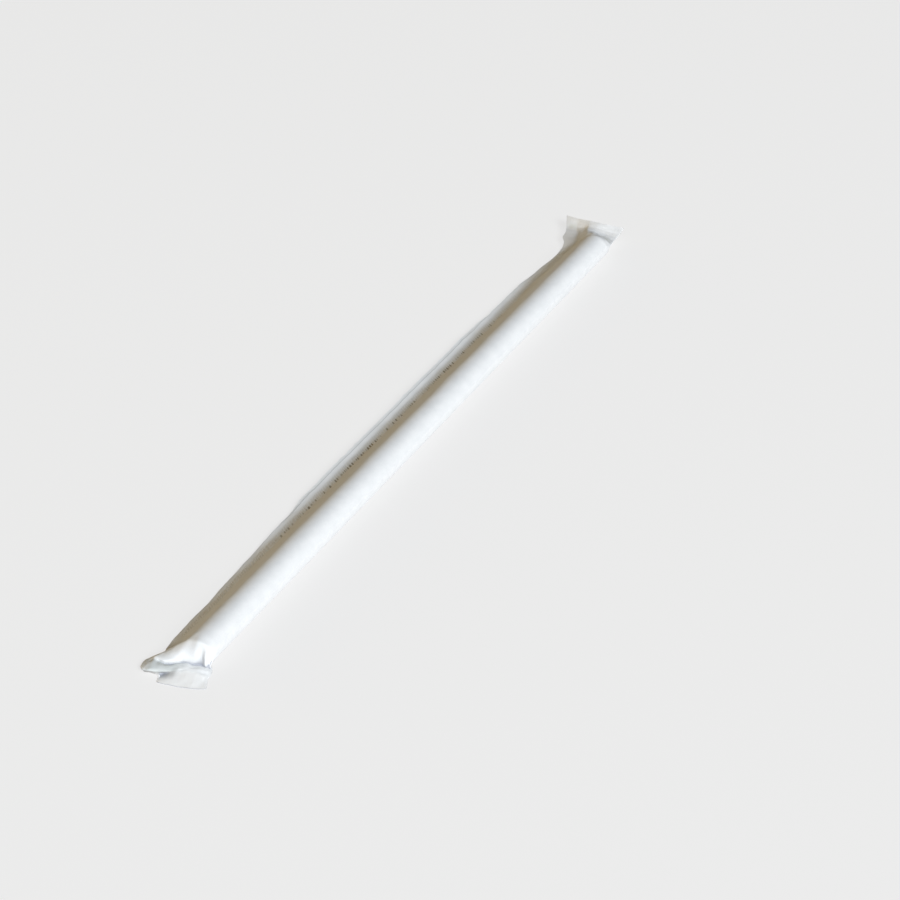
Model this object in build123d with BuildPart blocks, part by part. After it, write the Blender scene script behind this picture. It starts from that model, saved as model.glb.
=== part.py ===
from build123d import *
import os
from math import acos, atan2, cos, pi, radians, sin, sqrt

# A drinking straw sealed in its paper wrapper, lying on a level surface.
# +X runs along the straw from the crumpled end to the flat end, +Y points to the side seam, +Z is up.
# The origin is at the middle of the underside of the whole packet. All sizes are in millimetres.
# The packet is sealed, so it is one solid: the straw and the wrapper's folded paper together.

# The straw inside, and what the paper and its slack add to the straw's radius
straw_length = 197.0
straw_diameter = 6.4
wrap_clearance = 0.1

# Where the packet lies: how far the surface presses the paper flat, and how far the lower ply lies on
# it, from under the straw's axis towards the seam
flattening = 0.1
lying_width = 3.2

# The wrapper: one strip folded once along its length, its two long edges pressed into a flat seam,
# and how far the lower ply bellies out where the two are pressed together
folded_width = 15.8
seam_width = 2.4
seam_thickness = 0.2
ply_belly = 0.1

# How the seam hangs along the packet: the place as a share of the straw's length, and how far the
# seam's inner line and its free edge lie below the straw's axis there
seam_hang = [
    (0.00, 2.2, 2.9),
    (0.25, 1.5, 1.7),
    (0.85, 1.4, 1.5),
    (0.96, 1.8, 2.7),
    (1.00, 1.0, 0.9),
]

# Both crimps
crimp_thickness = 0.3

# The flat end: the paper closes past the straw, and its crimp stands out level with the axis
flat_neck_length = 5.6
flat_neck_thickness = 0.8
flat_neck_right = 3.0
flat_crimp_length = 5.0
flat_crimp_right = 2.4

# The crumpled end: the crimp lies askew on the surface, with part of its width rolled up beside it
crumpled_neck_length = 4.6
crumpled_neck_thickness = 1.2
crumpled_neck_right = 4.5
crumpled_crimp_length = 4.8
crumpled_crimp_width = 10.0
crumpled_crimp_right = 5.3
crumpled_skew = 11.0

# The rolled-up corner: three oval sections, each with its distance past the straw's end, its centre's
# distance from the axis to the seam's side, and its full width and height
roll_sections = [
    (1.0, 4.8, 4.4, 2.6),
    (5.6, 5.8, 4.4, 3.2),
    (9.7, 6.9, 3.4, 2.6),
]
roll_tip_rounding = 0.8

# Values that follow from the sizes above
radius = straw_diameter / 2 + wrap_clearance
axis_z = radius - flattening
ply_width = folded_width - seam_width
end_x = straw_length / 2
flat_neck_x = end_x + flat_neck_length
flat_tip_x = flat_neck_x + flat_crimp_length
crumpled_neck_x = end_x + crumpled_neck_length
crumpled_edge_x = crumpled_neck_x + crumpled_crimp_length
crumpled_left = crumpled_crimp_width - crumpled_crimp_right
crumpled_tip_x = crumpled_edge_x + crumpled_left * sin(radians(crumpled_skew))
crumpled_tip_right = crumpled_crimp_right * cos(radians(crumpled_skew))
axis_x = (crumpled_tip_x - flat_tip_x) / 2
axis_y = (crumpled_tip_right + flat_crimp_right - folded_width) / 2


def ply_to_seam(distance):
    """Paper used by one ply from the fold, round the straw and straight on to a seam at this distance."""
    return sqrt(distance**2 - radius**2) + radius * (pi - acos(radius / distance))


def find_seam_distance():
    """Distance from the straw's axis to the seam, where one ply is used up."""
    near = radius
    far = radius + ply_width
    for _ in range(60):
        middle = (near + far) / 2
        if ply_to_seam(middle) < ply_width:
            near = middle
        else:
            far = middle
    return near


seam_distance = find_seam_distance()


def across(x, skew=0.0):
    """The upright plane across the packet at x from the straw's middle, turned askew in degrees."""
    turn = radians(skew)
    return Plane(
        origin=(axis_x + x, axis_y, 0),
        x_dir=(-sin(turn), cos(turn), 0),
        z_dir=(cos(turn), sin(turn), 0),
    )


def round_straw(angle):
    """A point of the paper where it lies on the straw, at this angle above the level line to the seam."""
    return (radius * cos(angle), axis_z + radius * sin(angle))


def pouch_section(share, seam_drop, edge_drop):
    """Paper round the straw, two plies running to the seam, and the seam's flat fin."""
    seam_y = sqrt(seam_distance**2 - seam_drop**2)
    edge_y = seam_y + sqrt(seam_width**2 - (edge_drop - seam_drop) ** 2)
    seam_top = axis_z - seam_drop + seam_thickness / 2
    edge_top = axis_z - edge_drop + seam_thickness / 2
    above = round_straw(atan2(-seam_drop, seam_y) + acos(radius / seam_distance))
    below = round_straw(-pi / 2)
    with BuildSketch(across(share * straw_length - end_x)) as section:
        with BuildLine():
            Polyline(
                above,
                (seam_y, seam_top),
                (edge_y, edge_top),
                (edge_y, edge_top - seam_thickness),
                (seam_y, seam_top - seam_thickness),
                (lying_width, -flattening),
                below,
            )
            ThreePointArc(below, round_straw(pi), above)
        make_face()
    return section.sketch


def flat_section(x, skew, right, width, bottom, top):
    """Plies pressed flat between two heights, from their right edge over their width, thinner at the seam."""
    left = width - right
    seam_y = left - seam_width
    edge_top = (bottom + top + seam_thickness) / 2
    with BuildSketch(across(x, skew)) as section:
        with BuildLine():
            Polyline(
                (-right, top),
                (seam_y, top),
                (left, edge_top),
                (left, edge_top - seam_thickness),
                (seam_y, bottom),
                ((seam_y - right) / 2, bottom - ply_belly),
                (-right, bottom),
                close=True,
            )
        make_face()
    return section.sketch


def roll_section(past_end, centre_y, width, height):
    """An oval slice of the rolled-up corner, pressed flat by the surface it lies on."""
    with BuildSketch(across(-end_x - past_end)) as section:
        with Locations((centre_y, height / 2 - flattening)):
            Ellipse(width / 2, height / 2)
    return section.sketch


pouch = [pouch_section(*hang) for hang in seam_hang]
flat_neck = flat_section(
    flat_neck_x,
    0,
    flat_neck_right,
    folded_width,
    axis_z - flat_neck_thickness / 2,
    axis_z + flat_neck_thickness / 2,
)
flat_edge = flat_section(
    flat_tip_x,
    0,
    flat_crimp_right,
    folded_width,
    axis_z - crimp_thickness / 2,
    axis_z + crimp_thickness / 2,
)
crumpled_neck = flat_section(
    -crumpled_neck_x,
    crumpled_skew,
    crumpled_neck_right,
    crumpled_crimp_width,
    -flattening,
    crumpled_neck_thickness,
)
crumpled_edge = flat_section(
    -crumpled_edge_x,
    crumpled_skew,
    crumpled_crimp_right,
    crumpled_crimp_width,
    -flattening,
    crimp_thickness,
)

with BuildPart() as wrapped_straw:
    # The rolled-up corner, rounded at its tip
    loft(sections=[roll_section(*oval) for oval in roll_sections])
    tip = wrapped_straw.faces().sort_by(Axis.X)[0]
    fillet(tip.edges(), radius=roll_tip_rounding)

    # The pouch along the straw, and the paper that closes past each of its ends
    loft(sections=pouch, ruled=True)
    loft(sections=[pouch[-1], flat_neck, flat_edge], ruled=True)
    loft(sections=[crumpled_edge, crumpled_neck, pouch[0]], ruled=True)

    # The underside, pressed flat where it lies on the surface
    split(bisect_by=Plane.XY, keep=Keep.TOP)

wrapped_straw.part.label = "wrapped_straw"
print("seam distance", seam_distance, "size", wrapped_straw.part.bounding_box())
os.makedirs("parts", exist_ok=True)
export_step(wrapped_straw.part, "parts/wrapped_straw.step")
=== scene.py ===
# %% [markdown]
# # A drinking straw in its paper wrapper
# The object is a paper drinking straw sealed in a thin white paper wrapper. The wrapper is one
# strip, folded once along its length round the straw. Its two long edges are pressed together into
# a flat side seam, and its two ends are crimped flat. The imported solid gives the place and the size
# of everything; this lesson gives it the folded paper that one sees.

from math import acos, asin, cos, exp, pi, radians, sin, sqrt

import bpy
import bmesh
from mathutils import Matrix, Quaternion, Vector, noise


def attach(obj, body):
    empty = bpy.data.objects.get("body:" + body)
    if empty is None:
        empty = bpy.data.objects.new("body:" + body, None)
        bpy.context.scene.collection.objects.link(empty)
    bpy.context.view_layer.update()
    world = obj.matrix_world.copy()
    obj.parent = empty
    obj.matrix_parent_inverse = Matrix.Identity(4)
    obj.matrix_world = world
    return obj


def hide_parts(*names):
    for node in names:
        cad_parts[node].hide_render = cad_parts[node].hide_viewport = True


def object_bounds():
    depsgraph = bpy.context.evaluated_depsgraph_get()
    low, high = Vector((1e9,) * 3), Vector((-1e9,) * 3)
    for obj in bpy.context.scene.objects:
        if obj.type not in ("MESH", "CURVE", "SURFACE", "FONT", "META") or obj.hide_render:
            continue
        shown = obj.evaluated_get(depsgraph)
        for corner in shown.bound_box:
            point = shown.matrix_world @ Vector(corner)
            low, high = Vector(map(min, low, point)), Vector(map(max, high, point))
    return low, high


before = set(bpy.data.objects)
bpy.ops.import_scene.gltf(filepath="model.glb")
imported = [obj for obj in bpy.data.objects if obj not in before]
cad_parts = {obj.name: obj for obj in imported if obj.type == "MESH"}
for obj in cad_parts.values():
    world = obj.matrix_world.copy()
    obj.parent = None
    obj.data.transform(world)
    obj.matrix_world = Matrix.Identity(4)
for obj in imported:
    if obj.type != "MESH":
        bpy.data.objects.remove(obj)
cad_low, cad_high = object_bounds()
print("packed model from", tuple(cad_low), "to", tuple(cad_high))

# %% [markdown]
# ## The camera
# A long lens a good half metre away, looking down at the packet from beyond its crumpled end. The
# long lens keeps the far end nearly as thick as the near one.

# %% Place the camera
CAMERA_HEADING = 25.17
CAMERA_DIP = 31.4
CAMERA_ROLL = 1.33
CAMERA_DISTANCE = 0.593
CAMERA_LENS = 107.67
SENSOR_WIDTH = 36.0
CAMERA_AIM = Vector((-0.0093, -0.0146, 0.0032))

heading = radians(CAMERA_HEADING)
dip = radians(CAMERA_DIP)
view_direction = Vector((cos(dip) * cos(heading), cos(dip) * sin(heading), -sin(dip)))
camera = bpy.data.objects.new("camera", bpy.data.cameras.new("camera"))
camera.data.sensor_width = SENSOR_WIDTH
camera.data.lens = CAMERA_LENS
camera.data.clip_start = 0.01
camera.location = CAMERA_AIM - CAMERA_DISTANCE * view_direction
camera.rotation_mode = "QUATERNION"
roll = Quaternion((0, 0, 1), radians(CAMERA_ROLL))
camera.rotation_quaternion = view_direction.to_track_quat("-Z", "Y") @ roll
bpy.context.scene.collection.objects.link(camera)
bpy.context.scene.camera = camera
print("camera at", tuple(round(x, 4) for x in camera.location))

# %% [markdown]
# ## Where the straw lies in the solid
# All the paper's sizes are easier to think of in millimetres from the straw's own axis, so this
# part of the lesson works in those: x along the straw, y towards the side seam, z up from the
# surface. The solid's box tells where that axis is: its highest line is the top of the straw, and
# the flat crimp's square corner is its farthest point along and across.

# %% Find the straw's axis from the solid's box
STRAW_RADIUS = 3.3
FOLDED_WIDTH = 15.8
SEAM_WIDTH = 2.4
FLAT_CRIMP_REACH = 109.1
PLY_TO_SEAM = FOLDED_WIDTH - SEAM_WIDTH

AXIS_Z = cad_high.z * 1000 - STRAW_RADIUS
axis_foot = Vector((
    cad_high.x * 1000 - FLAT_CRIMP_REACH,
    cad_high.y * 1000 - PLY_TO_SEAM,
    0.0,
))
print("straw's axis at height", round(AXIS_Z, 3), "over", tuple(round(x, 3) for x in axis_foot))

# %% [markdown]
# ## The pouch round the straw
# Between the two ends the wrapper has the same shape in every slice: from the fold, one ply goes
# over the straw and down in a straight line to the seam, and the other goes under it and back up.
# What changes along the packet is how far the seam reaches out and how it hangs, so a few stations
# say that, and it eases from each to the next. One could loft slices like these, but a real strip
# of paper is folded below instead, so that its fold, its two plies and its free edges come out as
# they do on the table.

# %% How the seam hangs along the packet
# x, the seam's distance from the axis, how far its inner line and its free edge hang below the
# axis, and how far the upper ply bellies up between the straw and the seam
SEAM_STATIONS = [
    (-98.5, 6.70, 2.00, 3.08, 0.0),
    (-94.0, 7.05, 2.00, 3.05, 0.0),
    (-85.0, 7.10, 2.00, 3.00, 0.0),
    (-70.0, 7.25, 1.90, 2.65, 0.0),
    (-50.0, 7.40, 1.90, 1.90, 0.0),
    (-25.0, 7.47, 1.90, 1.40, 0.0),
    (25.0, 7.47, 1.85, 1.30, 0.0),
    (50.0, 7.47, 1.80, 1.35, 0.0),
    (70.0, 7.45, 1.80, 1.70, 0.1),
    (82.0, 7.30, 1.90, 2.50, 0.2),
    (91.0, 7.10, 2.10, 2.95, 0.2),
    (93.5, 6.90, 2.00, 2.70, 0.2),
    (96.0, 6.80, 1.80, 2.20, 0.1),
]


def ease(share):
    """A share from 0 to 1 that starts and stops gently."""
    share = min(max(share, 0.0), 1.0)
    return share * share * (3 - 2 * share)


def seam_at(x):
    """The seam's reach, its two drops and the belly at x."""
    x = min(max(x, SEAM_STATIONS[0][0]), SEAM_STATIONS[-1][0])
    for before, after in zip(SEAM_STATIONS, SEAM_STATIONS[1:]):
        if x <= after[0]:
            share = ease((x - before[0]) / (after[0] - before[0]))
            return [a + share * (b - a) for a, b in zip(before[1:], after[1:])]


print("seam in the middle:", [round(value, 2) for value in seam_at(0)])

# %% [markdown]
# A slice is a bent line, and the paper is laid along it by its length: a point this far from the
# fold on the flat strip is that far along the bent line. The fold itself is pinched, so it stands a
# little off the straw. Short of the seam the upper ply bends softly into the flat fin, and the
# lower one leaves the surface in an easy curve up to it.

# %% Lay a ply along its slice
# how far the pinched fold stands off the straw, and how soon that fades round the straw
FOLD_PINCH = 0.22
PINCH_REACH = 0.45
# the upper ply's bend starts this far before the seam and ends at this share of the fin
BEND_BEFORE_SEAM = 2.4
BEND_INTO_FIN = 0.75
# the share of the seam's distance to which the lower ply keeps low
UNDER_BELLY = 0.62
# steps round the straw above and below, across the span to the seam, and up to it
ROUND_STEPS = 30
UNDER_STEPS = 16
SPAN_STEPS = 8
RISE_STEPS = 10


def along_line(points, share):
    """The point at this share of a bent line's length."""
    lengths = [(b - a).length for a, b in zip(points, points[1:])]
    left = share * sum(lengths)
    for a, b, length in zip(points, points[1:], lengths):
        if left <= length:
            break
        left -= length
    else:
        left += length
    return a + (b - a) * (left / length)


def curve(start, corner, end, share):
    """A point of the smooth curve that cuts a corner."""
    return start.lerp(corner, share).lerp(corner.lerp(end, share), share)


def slice_lines(x):
    """The upper and the lower ply's bent lines at x, from the fold to the free edge."""
    reach, seam_drop, edge_drop, belly_up = seam_at(x)
    lean = -asin(seam_drop / reach)
    seam = Vector((x, sqrt(reach**2 - seam_drop**2), AXIS_Z - seam_drop))
    fin_rise = seam_drop - edge_drop
    edge = seam + Vector((0, sqrt(SEAM_WIDTH**2 - fin_rise**2), fin_rise))
    leave = lean + acos(STRAW_RADIUS / reach)

    def on_straw(angle):
        off = STRAW_RADIUS + FOLD_PINCH * exp(-abs(angle - pi - lean) * STRAW_RADIUS / PINCH_REACH)
        return Vector((x, off * cos(angle), max(AXIS_Z + off * sin(angle), 0.0)))

    round_turn = pi + lean - leave
    over = [
        on_straw(pi + lean - round_turn * step / ROUND_STEPS)
        for step in range(ROUND_STEPS + 1)
    ]
    off_straw = over[-1]
    up = Vector((0, cos(leave), sin(leave)))
    bend_start = off_straw.lerp(seam, 1 - BEND_BEFORE_SEAM / (seam - off_straw).length)
    over += [
        off_straw.lerp(bend_start, step / SPAN_STEPS) + up * belly_up * sin(pi * step / SPAN_STEPS)
        for step in range(1, SPAN_STEPS + 1)
    ]
    bend_end = seam.lerp(edge, BEND_INTO_FIN)
    over += [
        curve(bend_start, seam, bend_end, step / SPAN_STEPS)
        for step in range(1, SPAN_STEPS + 1)
    ]
    over.append(edge)
    under_turn = pi / 2 - lean
    under = [
        on_straw(pi + lean + under_turn * step / UNDER_STEPS)
        for step in range(UNDER_STEPS + 1)
    ]
    foot = under[-1]
    belly = Vector((x, UNDER_BELLY * seam.y, foot.z))
    under += [curve(foot, belly, seam, step / RISE_STEPS) for step in range(1, RISE_STEPS + 1)]
    under.append(edge)
    return over, under


over, under = slice_lines(0.0)
print("ply over the straw", round(sum((b - a).length for a, b in zip(over, over[1:])), 2), "mm")
print("ply under the straw", round(sum((b - a).length for a, b in zip(under, under[1:])), 2), "mm")

# %% [markdown]
# ## The two ends
# Beyond the straw the pouch closes flat. The flat end does so plainly: the plies drop behind the
# straw's rim and run out level in the crimp, whose seam side hangs a little lower. The crumpled end
# has been pushed back on itself: the paper drops from the rim in a bright facet, turns forward over
# a puckered band, drops again to the surface and runs out in the crimp, while its seam side is
# lifted into a rolled nose over the crimp's tucked corner. Creased paper is made of nearly flat
# facets between creases, so the creases are placed one by one, as rows of points across the folded
# strip, and the paper between two rows is stretched straight. A cloth simulation would crumple it
# somewhere, but not here.

# %% Rows of creases, from the fold to the free edge
# how far each point of a row is from the fold, as a share of the folded width
ROW_SHARES = [0.0, 0.14, 0.21, 0.28, 0.42, 0.56, 0.65, 0.80, 1.0]

# each row: its place on the flat strip, then the upper ply's points and the lower ply's
CRUMPLED_ROWS = [
    (-100.6, [
        (-100.1, -3.2, 3.7), (-100.4, -2.5, 5.3), (-100.9, -1.6, 5.8), (-101.0, -0.4, 6.3),
        (-100.6, 1.9, 5.7), (-100.7, 4.0, 4.15), (-100.8, 5.2, 3.3), (-101.2, 6.6, 2.1),
        (-100.3, 7.7, 0.8),
    ], [
        (-100.1, -3.2, 3.7), (-100.2, -3.1, 1.7), (-100.2, -2.5, 0.8), (-100.2, -1.4, 0.3),
        (-100.2, 0.8, 0.06), (-100.2, 3.0, 0.06), (-100.3, 4.4, 0.15), (-100.6, 6.3, 0.6),
        (-100.2, 7.6, 0.5),
    ]),
    (-102.6, [
        (-100.2, -3.0, 2.3), (-101.4, -2.0, 3.3), (-100.8, -1.2, 3.4), (-101.6, -0.2, 3.8),
        (-101.8, 2.1, 3.8), (-102.7, 4.4, 3.0), (-103.1, 5.4, 2.7), (-103.2, 7.0, 2.4),
        (-102.2, 8.4, 1.0),
    ], [
        (-100.2, -3.0, 2.3), (-100.6, -2.8, 0.9), (-100.7, -2.0, 0.4), (-100.8, -0.9, 0.12),
        (-101.0, 1.3, 0.06), (-101.7, 3.5, 0.2), (-102.3, 4.8, 0.6), (-102.6, 6.7, 1.1),
        (-102.1, 8.3, 0.85),
    ]),
    (-104.2, [
        (-100.3, -2.8, 1.3), (-101.4, -2.0, 1.5), (-100.8, -1.2, 1.5), (-101.7, 0.1, 1.6),
        (-102.5, 2.1, 2.0), (-104.3, 4.1, 2.15), (-105.0, 5.4, 2.3), (-104.6, 7.3, 2.5),
        (-103.6, 9.0, 1.1),
    ], [
        (-100.3, -2.8, 1.3), (-100.8, -2.2, 0.5), (-100.8, -1.4, 0.2), (-101.0, 0.0, 0.08),
        (-101.7, 2.1, 0.12), (-103.3, 4.2, 0.35), (-104.0, 5.4, 0.7), (-103.9, 7.1, 1.3),
        (-103.5, 8.9, 0.95),
    ]),
    (-105.0, [
        (-100.2, -2.7, 0.9), (-101.0, -2.2, 0.8), (-100.8, -1.2, 0.6), (-101.2, 0.2, 0.7),
        (-102.0, 2.2, 1.05), (-103.8, 4.3, 1.2), (-104.5, 5.6, 1.4), (-105.0, 7.2, 2.0),
        (-104.5, 9.4, 1.0),
    ], [
        (-100.2, -2.7, 0.9), (-100.8, -2.4, 0.3), (-100.6, -1.4, 0.12), (-100.9, 0.0, 0.08),
        (-101.6, 2.2, 0.15), (-103.4, 4.3, 0.5), (-104.1, 5.5, 0.85), (-104.8, 7.1, 1.6),
        (-104.4, 9.3, 0.95),
    ]),
    (-106.1, [
        (-100.8, -3.3, 0.45), (-101.5, -2.7, 0.8), (-101.8, -1.6, 1.0), (-102.2, -0.2, 1.15),
        (-103.1, 1.9, 1.5), (-104.9, 3.8, 1.65), (-105.7, 5.1, 1.8), (-106.3, 7.2, 2.1),
        (-105.7, 9.6, 1.05),
    ], [
        (-100.8, -3.3, 0.45), (-101.4, -2.7, 0.3), (-101.6, -1.6, 0.3), (-101.9, 0.0, 0.4),
        (-102.7, 2.0, 0.6), (-104.4, 3.9, 0.8), (-105.2, 5.3, 1.0), (-105.8, 7.2, 1.7),
        (-105.4, 9.5, 1.0),
    ]),
    (-107.3, [
        (-101.7, -3.9, 0.3), (-102.4, -2.7, 0.85), (-102.8, -1.7, 1.15), (-103.2, -0.3, 1.3),
        (-104.4, 1.7, 1.4), (-105.9, 3.1, 1.4), (-106.9, 4.6, 1.45), (-108.4, 7.4, 1.6),
        (-107.3, 9.2, 1.0),
    ], [
        (-101.7, -3.9, 0.3), (-102.2, -2.7, 0.3), (-102.5, -1.7, 0.35), (-102.8, -0.2, 0.45),
        (-104.0, 1.8, 0.7), (-105.4, 3.4, 0.8), (-106.4, 4.8, 0.9), (-107.9, 7.1, 1.3),
        (-107.0, 9.1, 0.9),
    ]),
    (-108.6, [
        (-103.4, -4.0, 0.18), (-103.6, -2.8, 0.8), (-103.9, -1.8, 1.05), (-104.2, -0.4, 1.15),
        (-104.9, 1.7, 1.0), (-106.0, 3.0, 0.95), (-105.9, 4.8, 0.17), (-107.3, 5.7, 0.85),
        (-107.5, 8.2, 0.45),
    ], [
        (-103.4, -4.0, 0.18), (-103.5, -2.8, 0.2), (-103.6, -1.8, 0.25), (-103.9, -0.4, 0.25),
        (-104.5, 1.8, 0.18), (-105.2, 3.6, 0.12), (-105.6, 4.9, 0.06), (-107.1, 5.7, 0.7),
        (-107.3, 8.1, 0.38),
    ]),
    (-111.4, [
        (-106.6, -5.5, 0.14), (-107.5, -3.7, 0.17), (-107.9, -2.6, 0.17), (-108.3, -1.5, 0.17),
        (-108.8, 0.8, 0.2), (-109.1, 2.9, 0.2), (-109.1, 4.55, 0.17), (-107.2, 4.6, 0.17),
        (-106.3, 6.6, 0.25),
    ], [
        (-106.6, -5.5, 0.14), (-107.5, -3.7, 0.06), (-107.9, -2.6, 0.06), (-108.3, -1.5, 0.06),
        (-108.8, 0.8, 0.06), (-109.1, 2.9, 0.06), (-109.1, 4.55, 0.06), (-107.2, 4.6, 0.06),
        (-106.3, 6.6, 0.12),
    ]),
]
FLAT_ROWS = [
    (98.4, [
        (98.3, -3.2, 3.2), (98.2, -2.5, 4.5), (98.1, -1.7, 5.1), (98.1, -0.7, 5.5),
        (98.1, 1.2, 6.0), (98.1, 2.95, 5.35), (98.2, 4.1, 4.25), (98.2, 6.1, 2.5), (97.9, 9.2, 1.6),
    ], [
        (98.3, -3.2, 3.2), (98.3, -2.8, 1.4), (98.3, -1.9, 0.7), (98.3, -0.8, 0.35),
        (98.3, 1.4, 0.25), (98.3, 3.3, 0.45), (98.3, 4.7, 0.9), (98.2, 6.7, 1.9), (97.9, 9.3, 1.5),
    ]),
    (100.3, [
        (100.2, -3.0, 2.9), (100.2, -1.9, 3.35), (100.1, -0.8, 3.65), (100.0, 0.3, 3.9),
        (99.9, 2.1, 4.9), (99.9, 3.6, 4.95), (100.0, 4.7, 4.0), (100.0, 6.8, 2.4),
        (99.7, 10.5, 1.9),
    ], [
        (100.2, -3.0, 2.9), (100.4, -2.1, 1.8), (100.4, -1.1, 1.3), (100.4, 0.0, 1.1),
        (100.1, 2.1, 0.95), (100.0, 3.9, 1.0), (100.1, 5.1, 1.3), (100.0, 7.1, 1.95),
        (99.7, 10.6, 1.8),
    ]),
    (102.8, [
        (102.8, -2.6, 2.6), (102.7, -1.1, 3.0), (102.6, 0.0, 3.15), (102.5, 1.0, 3.35),
        (102.3, 3.0, 4.0), (102.0, 4.6, 4.4), (102.2, 5.6, 3.6), (102.4, 7.5, 2.4),
        (102.4, 10.7, 2.3),
    ], [
        (102.8, -2.6, 2.6), (102.7, -1.1, 2.6), (102.6, 0.0, 2.6), (102.5, 1.0, 2.7),
        (102.3, 3.2, 2.7), (102.2, 5.0, 2.5), (102.3, 5.9, 2.2), (102.4, 7.5, 2.15),
        (102.4, 10.7, 2.2),
    ]),
    (105.3, [
        (105.4, -2.9, 2.9), (105.2, -0.9, 3.15), (105.1, 0.2, 3.35), (105.0, 1.3, 3.55),
        (104.8, 3.4, 4.0), (104.6, 5.3, 4.05), (104.7, 6.6, 3.3), (104.9, 8.7, 2.6),
        (104.8, 11.6, 2.5),
    ], [
        (105.4, -2.9, 2.9), (105.2, -0.9, 3.04), (105.1, 0.2, 3.24), (105.0, 1.3, 3.42),
        (104.8, 3.4, 3.6), (104.7, 5.4, 3.5), (104.7, 6.6, 3.05), (104.9, 8.7, 2.48),
        (104.8, 11.6, 2.4),
    ]),
    (109.6, [
        (108.75, -2.8, 3.6), (108.05, -0.7, 3.85), (107.65, 0.3, 4.05), (107.3, 1.4, 4.2),
        (106.95, 3.65, 4.4), (107.0, 5.8, 4.35), (107.3, 7.35, 4.12), (108.1, 9.8, 3.65),
        (109.1, 13.5, 3.3),
    ], [
        (108.75, -2.8, 3.6), (108.05, -0.7, 3.74), (107.65, 0.3, 3.94), (107.3, 1.4, 4.09),
        (106.95, 3.65, 4.29), (107.0, 5.8, 4.24), (107.3, 7.35, 4.01), (108.1, 9.8, 3.54),
        (109.1, 13.5, 3.2),
    ]),
]
print(len(CRUMPLED_ROWS), "rows at the crumpled end,", len(FLAT_ROWS), "at the flat end")

# %% [markdown]
# ## Folding the strip
# The wrapper is made as its factory makes it: a flat strip, here a grid, is folded in half along
# its length, pouched round the straw and closed at its ends. Each of the grid's points knows its
# place on the flat strip, and that place is kept as the strip's own UV map, in millimetres, for the
# paper's finish. The grid is finer near the ends, where the creases are.

# %% Cut the flat strip
# rows of faces in each end, which starts this far from the middle, and in the middle
END_STEPS = 84
FINE_FROM = 86.0
MIDDLE_STEPS = 256
# columns of faces in each ply, from the fold to the seam and across the seam
PLY_COLUMNS = 38
SEAM_COLUMNS = 8
FOLD_COLUMN = PLY_COLUMNS + SEAM_COLUMNS


def flat_place(row, column):
    """Millimetres along the strip, and from the fold: plus on the upper ply, minus on the lower."""
    start, end = CRUMPLED_ROWS[-1][0], FLAT_ROWS[-1][0]
    if row <= END_STEPS:
        along = start + (-FINE_FROM - start) * row / END_STEPS
    elif row <= END_STEPS + MIDDLE_STEPS:
        along = -FINE_FROM + 2 * FINE_FROM * (row - END_STEPS) / MIDDLE_STEPS
    else:
        along = FINE_FROM + (end - FINE_FROM) * (row - END_STEPS - MIDDLE_STEPS) / END_STEPS
    steps = abs(column - FOLD_COLUMN)
    across = PLY_TO_SEAM * min(steps / PLY_COLUMNS, 1.0)
    across += SEAM_WIDTH * max(steps - PLY_COLUMNS, 0) / SEAM_COLUMNS
    return along, across if column >= FOLD_COLUMN else -across


rows = 2 * END_STEPS + MIDDLE_STEPS
columns = 2 * FOLD_COLUMN
strip = bmesh.new()
bmesh.ops.create_grid(strip, x_segments=rows, y_segments=columns, size=0.5)
strip_map = strip.loops.layers.uv.new("strip")
hollow = strip.verts.layers.float.new("hollow")
grid = {}
for point in strip.verts:
    row = round((point.co.x + 0.5) * rows)
    column = round((point.co.y + 0.5) * columns)
    point.co = Vector((*flat_place(row, column), 0.0))
    grid[row, column] = point
for face in strip.faces:
    for loop in face.loops:
        loop[strip_map].uv = loop.vert.co.xy
strip_length = FLAT_ROWS[-1][0] - CRUMPLED_ROWS[-1][0]
print("flat strip", round(strip_length, 1), "by", 2 * FOLDED_WIDTH, "mm")
print("strip's faces:", len(strip.faces))

# %% [markdown]
# The two plies never lie quite alike. Where the packet's middle part was cut, the lower ply stands
# out past the upper by most of a millimetre, and both free edges waver. Between the straw and the
# seam the paper isn't held, and it cockles softly.

# %% Fold it along its length
# the paper's lowest height over the surface, and the gap between the two plies
GROUND = 0.05
PLY_GAP = 0.11
# how far the lower ply's edge stands out past its width: in the middle more than at the ends
MIDDLE_PROUD = 0.62
ENDS_PROUD = 0.04
# how far the paper swells between straw and seam, and how far its edge and seam wander
COCKLE = 0.16
EDGE_WAVE = 0.30
SEAM_WAVE = 0.18
slices = {}


def ripple(x, y, salt):
    """A smooth, wandering number between -1 and 1. The salt tells ripples apart."""
    return noise.noise(Vector((x, y, salt)))


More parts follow.
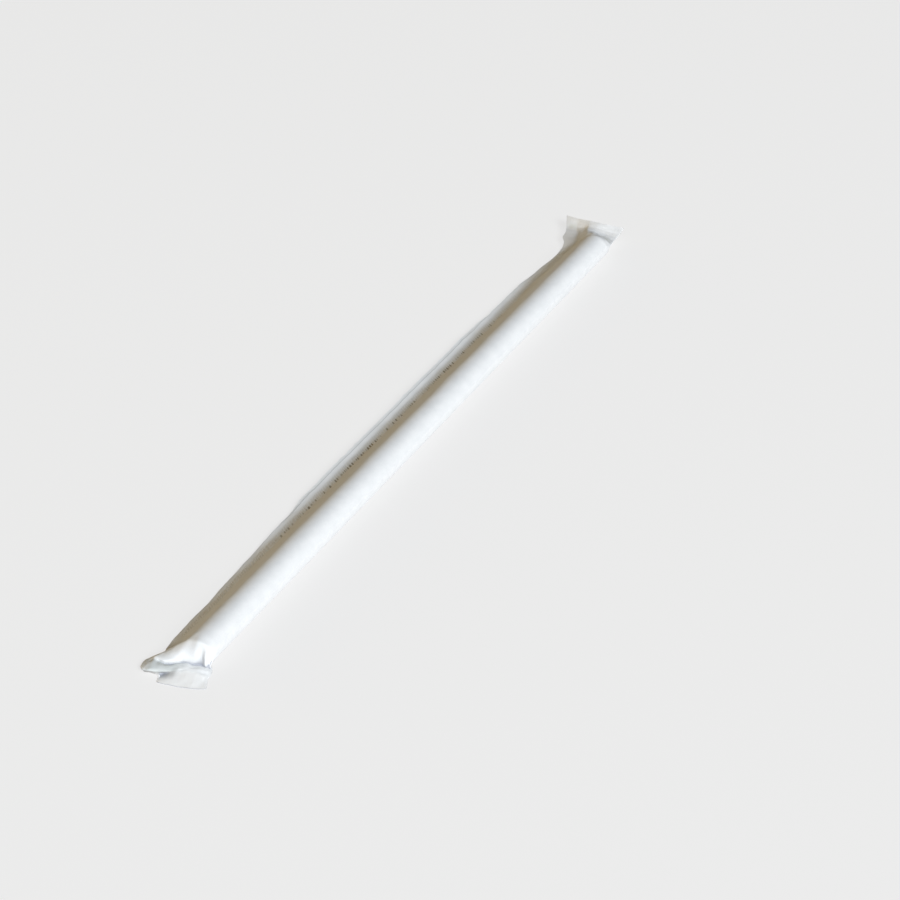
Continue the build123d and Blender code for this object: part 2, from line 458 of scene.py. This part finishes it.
def pouch_place(along, across):
    """Where a place of the flat strip goes in the pouch."""
    if along not in slices:
        slices[along] = slice_lines(along)
    over, under = slices[along]
    far = abs(across)
    fin = max(far - PLY_TO_SEAM, 0.0) / SEAM_WIDTH
    fray = 0.10 * ripple(along / 2.1, 0, 3) + 0.07 * ripple(along / 0.8, 0, 5)
    if across < 0:
        proud = ease((along + 50) / 10) * ease((55 - along) / 10)
        fray = ENDS_PROUD + MIDDLE_PROUD * proud
        fray = fray + 0.14 * ripple(along / 1.7, 4, 3) + 0.10 * ripple(along / 0.7, 4, 5)
    far += fin * fray
    place = along_line(over, far / FOLDED_WIDTH)
    if across < 0:
        pressed = ease((far - 11.4) / 1.6)
        place.z -= PLY_GAP
        place = along_line(under, far / FOLDED_WIDTH).lerp(place, pressed)
    unheld = ease((far - 4.5) / 4.0) * ease((13.0 - far) / 2.0)
    bulge = ripple(along / 13, far / 6, 7) + 0.4 * ripple(along / 5, far / 3, 9)
    place.z += COCKLE * unheld * bulge
    place.z += EDGE_WAVE * fin * ripple(along / 7, 1, 11)
    place.y += SEAM_WAVE * ease((far - 11) / 2) * ripple(along / 7, 2, 13)
    place.z = max(place.z, GROUND + (PLY_GAP if across > 0 else 0.0))
    return place


def row_place(row, across):
    """Where a place across the strip is in one of the rows of creases."""
    share = min(abs(across) / FOLDED_WIDTH, 1.0)
    points = row[1] if across >= 0 else row[2]
    for step in range(len(ROW_SHARES) - 1):
        if share <= ROW_SHARES[step + 1]:
            part = (share - ROW_SHARES[step]) / (ROW_SHARES[step + 1] - ROW_SHARES[step])
            return Vector(points[step]).lerp(Vector(points[step + 1]), part)


def folded_place(along, across):
    """Where a place of the flat strip goes in the whole packet."""
    first_slice, last_slice = SEAM_STATIONS[0][0], SEAM_STATIONS[-1][0]
    if first_slice <= along <= last_slice:
        return pouch_place(along, across)
    before = first_slice if along < 0 else last_slice
    start = pouch_place(before, across)
    for row in CRUMPLED_ROWS if along < 0 else FLAT_ROWS:
        end = row_place(row, across)
        if abs(along) <= abs(row[0]) + 0.001:
            return start.lerp(end, (along - before) / (row[0] - before))
        before, start = row[0], end


for point in strip.verts:
    point.co = folded_place(point.co.x, point.co.y)
print("folded;", len(slices), "slices")

# %% Mark the cut edges
# so that smooth shading doesn't run round the paper's thin edge
for edge in strip.edges:
    edge.smooth = not edge.is_boundary
print("cut edges:", sum(edge.is_boundary for edge in strip.edges))

# %% [markdown]
# Real creases are rounded over about half a millimetre, so the points at the ends are eased towards
# their neighbours twice, and the ends get the small puckers that no row describes: the crumpled
# end's band the most, the flat end the least. Both plies get the same ones, so that they stay side
# by side.

# %% Ease the creases and pucker the ends
EASE_TIMES = 2
# where the two ends start
CRUMPLED_FROM = -97.5
FLAT_FROM = 95.5
# how far the puckers move the paper, and how large they are
CRUMPLED_PUCKER = 0.09
FLAT_PUCKER = 0.05
BAND_PUCKER = 0.12
PUCKER_SIZE = 1.3
PUCKER_SALTS = (20.3, 30.7, 40.1)

ends = [point for point in strip.verts if point.co.x < CRUMPLED_FROM or point.co.x > FLAT_FROM]
for _ in range(EASE_TIMES):
    bmesh.ops.smooth_vert(
        strip, verts=ends, factor=0.5, use_axis_x=True, use_axis_y=True, use_axis_z=True
    )

for (row, column), point in grid.items():
    along, across = flat_place(row, column)
    crumple = CRUMPLED_PUCKER * ease((CRUMPLED_FROM - along) / 4)
    crumple += FLAT_PUCKER * ease((along - 97) / 3)
    crumple += BAND_PUCKER * ease(-103.8 - along) * ease((along + 110) / 2)
    spot = along / PUCKER_SIZE, abs(across) / PUCKER_SIZE
    point.co += crumple * Vector([ripple(*spot, salt) for salt in PUCKER_SALTS])
    point.co.z = max(point.co.z, GROUND + (PLY_GAP if across > 0.5 else 0.0))
print("eased", len(ends), "points")

# %% [markdown]
# In the crimps, and in the seam beside them, the two plies are pressed into one sheet. There each
# point of the lower ply goes straight under the upper ply's point, so that the two follow each
# other closely. In the tightest folds of the ends the paper still crosses itself in places.

# %% Press the plies together at the ends
# where the pressed seam starts across the strip, and the crimps along it
SEAM_FROM = 12.2
CRUMPLED_CRIMP_FROM = -107.4
FLAT_CRIMP_FROM = 104.2

pressed_points = 0
strip.normal_update()
if grid[rows // 2, FOLD_COLUMN + PLY_COLUMNS // 2].normal.z < 0:
    bmesh.ops.reverse_faces(strip, faces=strip.faces)
    strip.normal_update()
for row in range(rows + 1):
    for steps in range(1, FOLD_COLUMN + 1):
        along, across = flat_place(row, FOLD_COLUMN + steps)
        past = max(ease((CRUMPLED_FROM - along) / 1.5), ease((along - FLAT_FROM) / 1.5))
        seam_pressed = past * ease((across - SEAM_FROM) / 1.2)
        crumpled_pressed = ease((CRUMPLED_CRIMP_FROM - along) / 1.4)
        flat_pressed = ease((along - FLAT_CRIMP_FROM) / 1.5)
        upper, lower = grid[row, FOLD_COLUMN + steps], grid[row, FOLD_COLUMN - steps]
        under_upper = upper.co - PLY_GAP * ease(steps / 3) * upper.normal
        under_upper.z = max(under_upper.z, GROUND)
        pressed = max(seam_pressed, crumpled_pressed, flat_pressed)
        lower.co = lower.co.lerp(under_upper, pressed)
        pressed_points += pressed > 0
print("pressed", pressed_points, "points of the lower ply")

# %% [markdown]
# How deep each point lies among its neighbours is worked out here and kept as a number of the
# mesh, for the paper's finish, which paints shade into the hollows by it.

# %% Find the hollows of the ends
# how far along the hollows start, how many points away the neighbours are, and which they are
HOLLOWS_FROM = 96
HOLLOW_REACHES = (4, 9)
NEIGHBOURS = ((1, 0), (-1, 0), (0, 1), (0, -1), (1, 1), (-1, -1), (1, -1), (-1, 1))
# neighbours nearer than this many millimetres count as this far off
CLOSEST = 0.3

strip.normal_update()
for (row, column), point in grid.items():
    if abs(flat_place(row, column)[0]) < HOLLOWS_FROM:
        continue
    for reach in HOLLOW_REACHES:
        depth = 0.0
        for row_step, column_step in NEIGHBOURS:
            near_row = min(max(row + row_step * reach, 0), rows)
            near_column = min(max(column + column_step * reach, 0), columns)
            way = grid[near_row, near_column].co - point.co
            depth += way.dot(point.normal) / max(way.length, CLOSEST) / len(NEIGHBOURS)
        point[hollow] += max(depth, 0.0) / len(HOLLOW_REACHES)
print("deepest hollow", round(max(point[hollow] for point in strip.verts), 2))

# %% [markdown]
# Last the strip is put in its place in metres and given the paper's thickness. Solidify stays live,
# because a sheet's thickness is the one number that one may want to change at the end.

# %% Place the wrapper
PAPER_THICKNESS = 0.07

bmesh.ops.translate(strip, verts=strip.verts, vec=axis_foot)
bmesh.ops.scale(strip, verts=strip.verts, vec=(0.001, 0.001, 0.001))
wrapper_mesh = bpy.data.meshes.new("paper_wrapper")
strip.to_mesh(wrapper_mesh)
strip.free()
wrapper_mesh.shade_smooth()
wrapper = bpy.data.objects.new("paper_wrapper", wrapper_mesh)
bpy.context.scene.collection.objects.link(wrapper)
thickness = wrapper.modifiers.new("thickness", "SOLIDIFY")
thickness.thickness = PAPER_THICKNESS / 1000
thickness.offset = 0.0
thickness.use_rim = True
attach(wrapper, "root")
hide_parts("wrapped_straw")
print("wrapper:", len(wrapper_mesh.polygons), "faces before its thickness")

# %% [markdown]
# ## A helper for the finishes
# A material is a sum over the surface: noise here, a mask there, one minus another. Written as
# Python expressions it reads like one, so a small class stands for a socket, and each operator on
# it adds the Math node that does the work. Colours and vectors go through their own nodes.

# %% A socket that can be used in sums
class Wire:
    """An output socket of a material's nodes."""

    def __init__(self, tree, socket=None):
        self.tree = tree
        self.socket = socket

    def node(self, kind, settings=None, values=None, out=0):
        """Add a node, set it, fill its sockets with values or links, and give one output."""
        made = self.tree.nodes.new(kind)
        for name, value in (settings or {}).items():
            setattr(made, name, value)
        for name, value in (values or {}).items():
            if isinstance(value, Wire):
                self.tree.links.new(value.socket, made.inputs[name])
            else:
                made.inputs[name].default_value = value
        return Wire(self.tree, made.outputs[out])

    def math(self, operation, *values):
        return self.node("ShaderNodeMath", {"operation": operation}, dict(enumerate(values)))

    def __add__(self, other):
        return self.math("ADD", self, other)

    def __radd__(self, other):
        return self.math("ADD", other, self)

    def __sub__(self, other):
        return self.math("SUBTRACT", self, other)

    def __rsub__(self, other):
        return self.math("SUBTRACT", other, self)

    def __mul__(self, other):
        return self.math("MULTIPLY", self, other)

    def __rmul__(self, other):
        return self.math("MULTIPLY", other, self)

    def __truediv__(self, other):
        return self.math("DIVIDE", self, other)

    def __abs__(self):
        return self.math("ABSOLUTE", self)

    def step(self, low, high):
        """0 below low and 1 above high, with a smooth way between."""
        values = {"Value": self, "From Min": low, "From Max": high}
        return self.node("ShaderNodeMapRange", {"interpolation_type": "SMOOTHSTEP"}, values)

    def between(self, low, full, fading, gone):
        """Rises from low to full, and falls again from fading to gone."""
        return self.step(low, full) * (1 - self.step(fading, gone))

    def near(self, centre, full, gone):
        """1 up to full away from the centre, and 0 from gone away."""
        return 1 - abs(self - centre).step(full, gone)

    def noise(self, scale, detail, roughness):
        """Soft noise from 0 to 1 over this place on the strip."""
        values = {"Vector": self, "Scale": scale, "Detail": detail, "Roughness": roughness}
        return self.node("ShaderNodeTexNoise", {"noise_dimensions": "2D"}, values)

    def blend(self, share, first, second):
        """A colour between two colours."""
        return self.node("ShaderNodeMix", {"data_type": "RGBA"}, {0: share, 6: first, 7: second}, 2)


print("helper ready")

# %% [markdown]
# ## The paper
# The wrapper is thin machine-glazed paper, white with a touch of blue. Close up it has a cloudy
# look from its uneven fibres, fine fibre lines, a matte face and a soft cockle. All of it is drawn
# on the strip's own map, in millimetres along the strip and from the fold, so it follows the folds.

# %% Lay out the paper's map and its fibres
paper = bpy.data.materials.new("wrapper_paper")
paper.use_nodes = True
tree = paper.node_tree
shader = tree.nodes["Principled BSDF"]
wire = Wire(tree)

strip_place = wire.node("ShaderNodeUVMap", {"uv_map": "strip"})
split = tree.nodes.new("ShaderNodeSeparateXYZ")
tree.links.new(strip_place.socket, split.inputs[0])
along, across = Wire(tree, split.outputs[0]), Wire(tree, split.outputs[1])
from_fold = abs(across)


def fibre_lines(turn, stretch, scale):
    """Noise drawn out into fine lines that run at an angle to the strip."""
    values = {"Vector": strip_place, "Rotation": (0, 0, turn), "Scale": stretch}
    return wire.node("ShaderNodeMapping", values=values).noise(scale, 3.0, 0.6)


cloud = strip_place.noise(0.35, 3.0, 0.55)
grain = strip_place.noise(2.6, 4.0, 0.65)
cockle = strip_place.noise(0.16, 2.0, 0.5)
fibres = fibre_lines(0.35, (1.1, 6.5, 1), 1.4)
cross_fibres = fibre_lines(-0.8, (6.0, 1.2, 1), 1.3)
print("map and fibres:", len(tree.nodes), "nodes")

# %% [markdown]
# The seam was pressed by a toothed wheel, which leaves short ridges across it. In the middle of the
# packet the teeth bit hard enough to leave short dents, which are darkened dull olive as painted
# shade. The wheel ran aslant and unevenly, so its teeth are counted along a slanted, wandering line.
# The count's fraction draws each ridge, and a random number for its whole part says how hard that
# tooth bit and where its tick starts.

# %% Draw the toothed wheel's ridges and ticks
TOOTH_PITCH = 0.85
TOOTH_WANDER = 2.6

slanted = along - from_fold
wander = wire.node("ShaderNodeCombineXYZ", values={"X": slanted}).noise(0.22, 1.0, 0.5)
count = slanted / TOOTH_PITCH + TOOTH_WANDER * wander
tooth_hill = wire.math("FRACT", count).between(0.05, 0.35, 0.60, 0.90)
whole = wire.math("FLOOR", count)
one_tooth = wire.node("ShaderNodeTexWhiteNoise", {"noise_dimensions": "1D"}, {"W": whole})
bite = one_tooth.step(0.05, 0.80)
tick_start = 12.7 - 0.9 * one_tooth
tick_band = wire.math("GREATER_THAN", from_fold, tick_start) * (1 - from_fold.step(13.1, 13.5))
hard_pressed = along.near(-4, 38, 70) * strip_place.noise(0.09, 2.0, 0.5).step(0.26, 0.52)
# the ticks are dents in the bump, darkened with painted shade
tick_dent_and_shade = tooth_hill * bite * tick_band * hard_pressed
on_seam = from_fold.between(12.2, 12.9, 14.0, 14.8) * along.near(0, 93, 98)
print("with the seam:", len(tree.nodes), "nodes")

# %% [markdown]
# The sealing jaws leave fine ridges along the packet in both crimps, and there the paper is coloured
# whiter, as painted light. Two soft olive patches of painted shade lie at the flat end, and painted
# shade darkens the paper beside its seam there. At the crumpled end the puckered band, the corner
# tucked under it and every hollow get painted shade, the hollows more towards the crumpled end. The
# cut edges get fine grey lines of painted shade.

# %% Find the crimps and the places of painted light and shade
CRIMP_RIDGE_PITCH = 0.8

# where the crimps are: their ridges, and their paper coloured whiter as painted light
at_crimp = along.step(103.6, 104.4) + (1 - along.step(-108.9, -108.1))
ridge = wire.math("SINE", across * (2 * pi / CRIMP_RIDGE_PITCH)) * at_crimp
# painted shade on the crumpled end's puckered band, less on its seam side
band_shade = along.between(-109.3, -107.9, -105.3, -104.3) * from_fold.step(4.5, 9.0)
band_shade = band_shade * (1 - 0.5 * from_fold.step(12.2, 13.6))
# painted shade on the corner tucked under the band
pocket_shade = along.between(-110.6, -108.9, -108.5, -107.5) * from_fold.step(6.0, 8.5)
# two soft olive patches of painted shade at the flat end, behind the straw's rim and on the crimp's
# seam side
flat_end_shade = along.near(101.0, 0.2, 1.8) * from_fold.near(3.6, 0.6, 2.8)
flat_end_shade = flat_end_shade + along.near(105.6, 0.2, 1.8) * from_fold.near(13.8, 0.4, 1.8)
# painted shade beside the seam at the flat end
seam_side_shade = along.between(92, 98, 104.0, 106.5) * from_fold.step(10.5, 12.5)
depth_here = wire.node("ShaderNodeAttribute", {"attribute_name": "hollow"}, out=2)
# painted shade in the hollows of the ends, stronger towards the crumpled end
hollow_shade = depth_here.step(0.02, 0.28) * (0.1 + 0.7 * (1 - along.step(-90, 90)))
# fine grey lines of painted shade along the upper ply's free edge and the crumpled end's last edge
edge_line_shade = across.step(15.55, 15.68) * (0.2 + 0.25 * along.near(0, 40, 60))
edge_line_shade = edge_line_shade + 0.5 * (1 - along.step(-111.38, -111.25))
print("with the ends:", len(tree.nodes), "nodes")

# %% [markdown]
# The paper's colour starts as a cloudy white, and each mask above, most of them painted light or
# shade, is laid over it in turn, as a share of a tone.

# %% Put the paper together
shade = 0.5 * cloud + 0.3 * grain + 0.2 * fibres
colour = wire.blend(shade.step(0.25, 0.75), (0.800, 0.815, 0.830, 1), (0.875, 0.885, 0.895, 1))
overlaid_tones = [
    # painted light: the crimps coloured whiter
    (at_crimp, (0.97, 0.972, 0.975, 1)),
    # painted shade on the puckered band
    (0.66 * band_shade, (0.52, 0.56, 0.55, 1)),
    # painted shade on the tucked corner
    (0.75 * pocket_shade, (0.34, 0.33, 0.32, 1)),
    # painted shade: the flat end's two olive patches
    (0.3 * flat_end_shade, (0.62, 0.64, 0.52, 1)),
    # painted shade beside the flat end's seam
    (0.35 * seam_side_shade, (0.50, 0.48, 0.45, 1)),
    # painted shade in the hollows
    (hollow_shade, (0.38, 0.40, 0.46, 1)),
    (0.24 * on_seam * tooth_hill, (0.62, 0.62, 0.60, 1)),
    # painted shade in the ticks' dents
    (0.80 * tick_dent_and_shade, (0.15, 0.12, 0.07, 1)),
    # painted shade: the edge lines
    (edge_line_shade, (0.36, 0.38, 0.42, 1)),
]
for share, tone in overlaid_tones:
    colour = wire.blend(share, colour, tone)
tree.links.new(colour.socket, shader.inputs["Base Color"])

roughness = 0.74 + 0.16 * grain - 0.08 * on_seam
tree.links.new(roughness.socket, shader.inputs["Roughness"])
shader.inputs["Specular IOR Level"].default_value = 0.35

# the height is in millimetres, and the bump's distance is one millimetre
height = 0.012 * grain + 0.010 * fibres + 0.010 * cross_fibres + 0.10 * cockle
height = height + 0.05 * tooth_hill * on_seam - 0.06 * tick_dent_and_shade + 0.004 * ridge
bump = wire.node("ShaderNodeBump", values={"Strength": 1.0, "Distance": 0.001, "Height": height})
tree.links.new(bump.socket, shader.inputs["Normal"])
wrapper_mesh.materials.append(paper)
print("paper:", len(tree.nodes), "nodes")

# %% [markdown]
# ## Floor and light
# The packet lies on a plain pale floor. One large cool softbox stands a third of the way up on the
# fold's side, towards the crumpled end, so that side is bright and the slope down to the seam falls
# into shade. A weak warm light low on the other side keeps the shade open. The floor gives off
# light of its own, which thins the shadows.

# %% Lay the floor
FLOOR_HALF = 2.0
FLOOR_GREY = 0.16
FLOOR_GLOW = 0.72

floor_bm = bmesh.new()
bmesh.ops.create_grid(floor_bm, x_segments=1, y_segments=1, size=FLOOR_HALF)
floor_mesh = bpy.data.meshes.new("floor")
floor_bm.to_mesh(floor_mesh)
floor_bm.free()
floor = bpy.data.objects.new("floor", floor_mesh)
bpy.context.scene.collection.objects.link(floor)
floor_material = bpy.data.materials.new("pale_floor")
floor_material.use_nodes = True
floor_shader = floor_material.node_tree.nodes["Principled BSDF"]
floor_shader.inputs["Base Color"].default_value = (FLOOR_GREY, FLOOR_GREY, FLOOR_GREY, 1)
floor_shader.inputs["Roughness"].default_value = 0.9
floor_shader.inputs["Specular IOR Level"].default_value = 0.1
floor_shader.inputs["Emission Color"].default_value = (1.0, 1.0, 1.0, 1)
floor_shader.inputs["Emission Strength"].default_value = FLOOR_GLOW
floor_mesh.materials.append(floor_material)
print("floor:", 2 * FLOOR_HALF, "m square")

# %% Set the lights
LIGHT_DISTANCE = 3.0


def softbox(name, direction, size, power, tint):
    """A square area light that looks at the packet from a direction."""
    data = bpy.data.lights.new(name, "AREA")
    data.shape = "SQUARE"
    data.size = size
    data.energy = power
    data.color = tint
    lamp = bpy.data.objects.new(name, data)
    toward = Vector(direction).normalized()
    lamp.location = toward * LIGHT_DISTANCE
    lamp.rotation_mode = "QUATERNION"
    lamp.rotation_quaternion = (-toward).to_track_quat("-Z", "Y")
    bpy.context.scene.collection.objects.link(lamp)


softbox("key_light", (-0.62, -0.77, 0.65), 1.1, 103.0, (0.95, 0.98, 1.0))
softbox("warm_fill", (0.0, 1.0, 0.22), 1.2, 23.0, (1.0, 0.70, 0.24))
world = bpy.data.worlds.new("studio")
bpy.context.scene.world = world
world.use_nodes = True
background = world.node_tree.nodes["Background"]
background.inputs["Color"].default_value = (1.0, 0.97, 0.93, 1)
background.inputs["Strength"].default_value = 0.01
bpy.context.scene.view_settings.view_transform = "Standard"

# %% Update the scene
bpy.context.view_layer.update()
